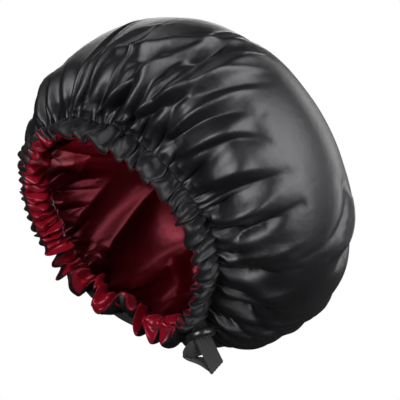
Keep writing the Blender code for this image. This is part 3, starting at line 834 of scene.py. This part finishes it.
def button_mesh():
    """The round button: rounded edge, shallow dish on each face."""
    stations = droop_route()
    middle = (stations[-1][0] + stations[-2][0]) / 2
    _, edge = stations[-1]
    _, _, side = strap_frame()
    axis = in_strap_plane(DROOP_ANGLE)
    half = BUTTON_THICKNESS / 2
    radius = BUTTON_DIAMETER / 2
    profile = [(0.0002, half - 0.0007), (0.45 * radius, half - 0.0007),
               (0.62 * radius, half - 0.0005), (0.72 * radius, half - 0.0001)]
    for angle in np.radians(np.linspace(0, 90, 8)):
        away = radius - BUTTON_ROUNDING + BUTTON_ROUNDING * math.sin(angle)
        profile.append((away, half - BUTTON_ROUNDING + BUTTON_ROUNDING * math.cos(angle)))
    profile += [(away, -height) for away, height in reversed(profile)]
    turns = np.linspace(0, 2 * math.pi, 64, endpoint=False)
    spokes = np.cos(turns)[:, None] * edge + np.sin(turns)[:, None] * side
    rows = np.array([middle + height * axis + away * spokes for away, height in profile])
    flat = rows[..., :2] * 1.0
    return rows, flat


# Thread
THREAD_RADIUS = 0.00022
BUTTONHOLE_THREAD = 0.0007
STITCH_ALONG = 0.955
STITCH_COLUMNS = 5
BUTTONHOLE_HALF = (0.0036, 0.0088)
BUTTONHOLE_OUT = 0.0032


def seam_stitches(points):
    """Short paths of thread over the casing's outer ply, just below the stitch line."""
    row = len(LIP_ROWS) + round(STITCH_ALONG * (len(points) - len(LIP_ROWS) - 1))
    normals = grid_normals(points)[row]
    line = points[row] + THREAD_RADIUS * normals
    routes = []
    for first in range(0, len(line) - STITCH_COLUMNS, STITCH_COLUMNS):
        route = line[first:first + STITCH_COLUMNS - 1].copy()
        route[0] -= 2 * THREAD_RADIUS * normals[first]
        route[-1] -= 2 * THREAD_RADIUS * normals[first + STITCH_COLUMNS - 2]
        routes.append(route)
    return routes


def buttonhole_route():
    """The worked edge of the slit that the elastic's legs come out of."""
    start, out, side = strap_frame()
    turns = np.linspace(0, 2 * math.pi, 40, endpoint=False)
    half_side, half_up = BUTTONHOLE_HALF
    across = half_side * np.sign(np.cos(turns)) * np.abs(np.cos(turns)) ** 0.7
    up = half_up * np.sign(np.sin(turns)) * np.abs(np.sin(turns)) ** 0.7
    centre = start + BUTTONHOLE_OUT * out
    return centre + across[:, None] * side + up[:, None] * UPWARD


def tubes(name, routes, radius, closed):
    """Round tubes of thread along the routes, as one mesh."""
    sides = 6
    ring = np.linspace(0, 2 * math.pi, sides, endpoint=False)
    vertices, faces = [], []
    for route in routes:
        if closed:
            heading = np.roll(route, -1, axis=0) - np.roll(route, 1, axis=0)
        else:
            heading = np.gradient(route, axis=0)
        heading = unit(heading)
        helper = np.where(np.abs(heading[:, 2:3]) < 0.8, [[0.0, 0.0, 1.0]], [[1.0, 0.0, 0.0]])
        first = unit(np.cross(heading, helper))
        second = np.cross(heading, first)
        circle = np.cos(ring)[None, :, None] * first[:, None] + np.sin(ring)[None, :, None] * (
            second[:, None])
        start = len(vertices)
        vertices.extend((route[:, None] + radius * circle).reshape(-1, 3))
        count = len(route)
        for i in range(count if closed else count - 1):
            here, there = start + sides * i, start + sides * ((i + 1) % count)
            for k in range(sides):
                after = (k + 1) % sides
                faces.append((here + k, here + after, there + after, there + k))
        if not closed:
            faces.append(tuple(start + k for k in reversed(range(sides))))
            faces.append(tuple(start + sides * (count - 1) + k for k in range(sides)))
    mesh = bpy.data.meshes.new(name)
    mesh.from_pydata([tuple(point) for point in vertices], [], faces)
    mesh.validate()
    mesh.shade_smooth()
    item = bpy.data.objects.new(name, mesh)
    bpy.context.scene.collection.objects.link(item)
    return item


# Materials


class Nodes:
    """Short calls for building a material's node tree."""

    def __init__(self, name):
        self.material = bpy.data.materials.new(name)
        self.material.use_nodes = True
        self.tree = self.material.node_tree
        self.shader = self.tree.nodes["Principled BSDF"]

    def add(self, kind, **values):
        node = self.tree.nodes.new(kind)
        for key, value in values.items():
            if hasattr(node, key):
                setattr(node, key, value)
            else:
                node.inputs[key.replace("_", " ")].default_value = value
        return node

    def link(self, output, target):
        self.tree.links.new(output, target)

    def math(self, operation, first, second):
        node = self.add("ShaderNodeMath", operation=operation)
        for slot, value in zip(node.inputs, (first, second)):
            if isinstance(value, (int, float)):
                slot.default_value = value
            else:
                self.link(value, slot)
        return node.outputs[0]

    def mapped(self, source, scale):
        node = self.add("ShaderNodeMapping", Scale=scale)
        self.link(source, node.inputs["Vector"])
        return node.outputs[0]

    def noise(self, source, scale, detail=2.0, roughness=0.5):
        node = self.add("ShaderNodeTexNoise", Scale=scale, Detail=detail, Roughness=roughness)
        self.link(source, node.inputs["Vector"])
        return node.outputs["Fac"]

    def ramp(self, source, low, high, start=0.0, end=1.0):
        node = self.add("ShaderNodeMapRange", From_Min=start, From_Max=end, To_Min=low,
                        To_Max=high)
        self.link(source, node.inputs["Value"])
        return node.outputs["Result"]

    def color_mix(self, factor, first, second):
        node = self.add("ShaderNodeMix", data_type="RGBA")
        self.link(factor, node.inputs["Factor"])
        node.inputs[6].default_value = (*first, 1.0)
        node.inputs[7].default_value = (*second, 1.0)
        return node.outputs[2]

    def bump(self, height, strength, distance, normal=None):
        node = self.add("ShaderNodeBump", Strength=strength, Distance=distance)
        self.link(height, node.inputs["Height"])
        if normal is not None:
            self.link(normal, node.inputs["Normal"])
        return node.outputs["Normal"]

    def bands(self, source, direction, scale, distortion):
        """Threads that run one way, as a wave texture, scale to the metre."""
        node = self.add("ShaderNodeTexWave", wave_type="BANDS", bands_direction=direction,
                        Scale=1.0, Distortion=distortion)
        self.link(self.mapped(source, (scale, scale, 1.0)), node.inputs["Vector"])
        return node.outputs["Fac"]

    def uv(self):
        return self.add("ShaderNodeUVMap", uv_map="cloth").outputs[0]

    def place(self):
        return self.add("ShaderNodeTexCoord").outputs["Object"]

    def drive(self, **outputs):
        """Link outputs to the shader's inputs of these names."""
        for key, output in outputs.items():
            self.link(output, self.shader.inputs[key.replace("_", " ")])

    def set(self, **values):
        for key, value in values.items():
            self.shader.inputs[key.replace("_", " ")].default_value = value


def satin(name, dark, light, tint, specular, sheen, roughness, metallic=0.0):
    """Satin: fine warp floats, slubs along them, and a soft directional sheen."""
    nodes = Nodes(name)
    uv = nodes.uv()
    place = nodes.place()
    streaks = nodes.noise(nodes.mapped(uv, (2600.0, 60.0, 1.0)), 1.0, 3.0, 0.6)
    patches = nodes.noise(place, 38.0, 3.0, 0.55)
    blend = nodes.math("ADD", nodes.math("MULTIPLY", streaks, 0.6),
                       nodes.math("MULTIPLY", patches, 0.4))
    nodes.drive(
        Base_Color=nodes.color_mix(nodes.ramp(blend, 0.0, 1.0, 0.35, 0.65), dark, light),
        Roughness=nodes.ramp(blend, roughness - 0.05, roughness + 0.06, 0.3, 0.7),
    )
    warp = nodes.bands(uv, "X", 900.0, 1.2)
    weft = nodes.bands(uv, "Y", 420.0, 0.8)
    weave = nodes.math("ADD", warp, nodes.math("MULTIPLY", weft, 0.5))
    crinkle = nodes.noise(place, 160.0, 4.0, 0.5)
    normal = nodes.bump(weave, 0.10, 0.00006)
    tangent = nodes.add("ShaderNodeTangent", direction_type="UV_MAP", uv_map="cloth")
    nodes.drive(Normal=nodes.bump(crinkle, 0.24, 0.0012, normal), Tangent=tangent.outputs[0])
    nodes.set(Specular_IOR_Level=specular, Specular_Tint=(*tint, 1.0), Anisotropic=0.30,
              Sheen_Weight=sheen, Sheen_Roughness=0.35, Sheen_Tint=(*tint, 1.0),
              Metallic=metallic)
    return nodes.material


def elastic_material():
    """Knitted elastic: fine cross rows over the ribs, matte, with a little fuzz."""
    nodes = Nodes("ribbed_elastic")
    uv = nodes.uv()
    place = nodes.place()
    rows = nodes.bands(uv, "X", 380.0, 1.5)
    fuzz = nodes.noise(place, 900.0, 3.0, 0.6)
    mix = nodes.math("ADD", nodes.math("MULTIPLY", rows, 0.6),
                     nodes.math("MULTIPLY", fuzz, 0.4))
    nodes.drive(
        Base_Color=nodes.color_mix(mix, (0.010, 0.010, 0.011), (0.030, 0.030, 0.032)),
        Roughness=nodes.ramp(fuzz, 0.62, 0.85),
        Normal=nodes.bump(mix, 0.5, 0.0003),
    )
    nodes.set(Specular_IOR_Level=0.35, Sheen_Weight=0.35, Sheen_Roughness=0.5,
              Sheen_Tint=(0.7, 0.7, 0.72, 1.0))
    return nodes.material


def thread_material():
    """Sewing thread: twisted strands, a little fuzzy."""
    nodes = Nodes("black_thread")
    place = nodes.place()
    strands = nodes.noise(nodes.mapped(place, (5200.0, 1400.0, 1400.0)), 1.0, 2.0, 0.5)
    nodes.drive(
        Base_Color=nodes.color_mix(strands, (0.010, 0.010, 0.012), (0.045, 0.045, 0.048)),
        Roughness=nodes.ramp(strands, 0.45, 0.70),
        Normal=nodes.bump(strands, 0.4, 0.0001),
    )
    nodes.set(Specular_IOR_Level=0.45, Sheen_Weight=0.3, Sheen_Roughness=0.5)
    return nodes.material


def plastic_material():
    """Moulded plastic, glossy, with faint flow marks and handling wear."""
    nodes = Nodes("black_plastic")
    place = nodes.place()
    marks = nodes.noise(place, 220.0, 4.0, 0.6)
    fine = nodes.noise(place, 1500.0, 2.0, 0.5)
    nodes.drive(
        Base_Color=nodes.color_mix(marks, (0.008, 0.008, 0.009), (0.020, 0.020, 0.022)),
        Roughness=nodes.ramp(marks, 0.20, 0.38),
        Normal=nodes.bump(fine, 0.15, 0.0001),
    )
    nodes.set(Specular_IOR_Level=0.6, Coat_Weight=0.3, Coat_Roughness=0.2)
    return nodes.material


def floor_material():
    nodes = Nodes("floor")
    place = nodes.place()
    pale = nodes.color_mix(nodes.noise(place, 3.0), (0.80, 0.80, 0.80), (0.84, 0.84, 0.84))
    nodes.drive(Base_Color=pale)
    nodes.set(Roughness=0.8, Specular_IOR_Level=0.2, Emission_Strength=0.62,
              Emission_Color=(1.0, 1.0, 1.0, 1.0))
    return nodes.material


BLACK = satin("black_satin", (0.0026, 0.0026, 0.0034), (0.0062, 0.0062, 0.0078),
              (0.97, 0.96, 1.0), 0.80, 0.02, 0.44)
GATHERED_BLACK = satin("gathered_black_satin", (0.0030, 0.0030, 0.0038),
                       (0.0070, 0.0070, 0.0086), (0.97, 0.96, 1.0), 0.50, 0.02, 0.55)
RED = satin("wine_satin", (0.24, 0.003, 0.013), (0.44, 0.007, 0.028),
            (1.0, 0.42, 0.52), 1.0, 0.12, 0.32)
# The lining's copy of the wine satin has a base colour about four times darker than the
# facing's: painted shade for the inside of the hollow
PAINTED_SHADE_LINING_RED = satin("wine_satin_lining_painted_shade", (0.050, 0.0012, 0.003), (0.115, 0.0028, 0.007),
                   (1.0, 0.20, 0.28), 1.0, 0.08, 0.34, 0.25)
ELASTIC = elastic_material()
THREAD = thread_material()
PLASTIC = plastic_material()


# Cloth pieces
middle, crown_flat = crown_middle()
top_point = CROWN_DEPTH * UPWARD
middle = relaxed(middle, crown_flat, top_point)
middle_normals = grid_normals(middle)


def tucked(points):
    """The points with one more row, which tucks the cloth's edge into the channel."""
    return np.concatenate([middle[:1] - SEAM_TUCK * UPWARD, points])


tucked_flat = np.concatenate([(1 + SEAM_TUCK / CLOTH_RADIUS) * crown_flat[:1], crown_flat])
crown = grid_mesh("crown_satin", tucked(middle + PLY_OFFSET * middle_normals), tucked_flat,
                  False, top_point + PLY_OFFSET * UPWARD)

lining_held = np.clip(CROWN_UPS / 0.20, 0.0, 1.0)[:, None] ** 0.8
lining_inset = PLY_OFFSET + fold_lift(crown_flat, LINING_FOLDS, 2.0, 1.6) * lining_held
lining = grid_mesh("lining_satin", tucked(middle - lining_inset[..., None] * middle_normals),
                   tucked_flat, True, top_point - PLY_OFFSET * UPWARD)

outer_points, outer_flat = casing_ply(1.0)
outer = grid_mesh("casing_satin", outer_points, outer_flat, False)
inner_points, inner_flat = casing_ply(-1.0)
inner = grid_mesh("facing_satin", inner_points, inner_flat, True)

# Thread, elastic and button
stitches = tubes("seam_stitches", seam_stitches(outer_points), THREAD_RADIUS, False)
buttonhole = tubes("buttonhole_edge", [buttonhole_route()], BUTTONHOLE_THREAD, True)
elastic = grid_mesh("ribbed_elastic_band", *elastic_mesh(), True)
button = grid_mesh("round_button", *button_mesh(), False)

for piece, node, slot, material in (
    (crown, "crown", "black_satin", BLACK),
    (lining, "lining", "wine_satin", PAINTED_SHADE_LINING_RED),
    (outer, "brim_casing", "black_satin", GATHERED_BLACK),
    (inner, "brim_facing", "wine_satin", RED),
    (stitches, None, "black_satin", THREAD),
    (buttonhole, None, "black_satin", THREAD),
    (elastic, "elastic_band", "ribbed_elastic", ELASTIC),
    (button, "adjuster_button", "black_plastic", PLASTIC),
):
    piece.data.materials.append(material)
    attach(piece, "root")
    if node is not None:
        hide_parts(node)

# Stage
FLOOR_HEIGHT = -0.8


def add_floor():
    mesh = bpy.data.meshes.new("floor")
    size = 6.0
    mesh.from_pydata([(-size, -size, FLOOR_HEIGHT), (size, -size, FLOOR_HEIGHT),
                      (size, size, FLOOR_HEIGHT), (-size, size, FLOOR_HEIGHT)],
                     [], [(0, 1, 2, 3)])
    floor = bpy.data.objects.new("floor", mesh)
    bpy.context.scene.collection.objects.link(floor)
    mesh.materials.append(floor_material())
    floor.visible_diffuse = False
    floor.visible_glossy = False


def from_view(right, up, back):
    """A place given by the camera's own directions."""
    return right * VIEW_RIGHT + up * VIEW_UP + back * VIEW_BACK


def add_softbox(name, place, width, height, radiance, target=(0.0, 0.05, 0.05)):
    data = bpy.data.lights.new(name, "AREA")
    data.shape = "RECTANGLE"
    data.size = width
    data.size_y = height
    data.energy = radiance * math.pi * width * height
    light = bpy.data.objects.new(name, data)
    bpy.context.scene.collection.objects.link(light)
    light.location = place
    light.rotation_mode = "QUATERNION"
    light.rotation_quaternion = (Vector(target) - light.location).to_track_quat("-Z", "Y")
    return light


def add_inner_light():
    """A small soft light in the hollow, near the forehead, that grazes the lining's folds."""
    target = Vector(crown_base(np.array(math.radians(266.0)), np.array(0.35)))
    place = target + 0.11 * from_view(-0.09, 0.88, 0.38)
    light = add_softbox("inner", place, 0.06, 0.06, 2.4, target)
    light.visible_camera = False


def add_world():
    bpy.context.scene.view_settings.view_transform = "Standard"
    world = bpy.data.worlds.new("studio")
    bpy.context.scene.world = world
    world.use_nodes = True
    tree = world.node_tree
    background = tree.nodes["Background"]
    background.inputs["Color"].default_value = (1.0, 1.0, 1.0, 1.0)
    path = tree.nodes.new("ShaderNodeLightPath")
    strength = tree.nodes.new("ShaderNodeMapRange")
    strength.inputs["To Min"].default_value = 0.045
    strength.inputs["To Max"].default_value = 1.0
    tree.links.new(path.outputs["Is Camera Ray"], strength.inputs["Value"])
    tree.links.new(strength.outputs["Result"], background.inputs["Strength"])


add_floor()
add_world()
add_softbox("key", from_view(1.15, 0.30, 0.70), 1.15, 1.5, 4.0)
add_softbox("top", from_view(-0.45, 1.15, -0.45), 0.9, 0.5, 1.2)
add_softbox("opening", from_view(-0.42, 0.30, 0.95), 0.50, 0.50, 9.0, (0.0, 0.0, 0.0))
add_inner_light()
add_softbox("rim", from_view(1.05, 0.35, -0.75), 0.5, 1.2, 2.4)
add_softbox("back", from_view(-0.10, 0.50, -1.25), 0.9, 0.9, 3.2)
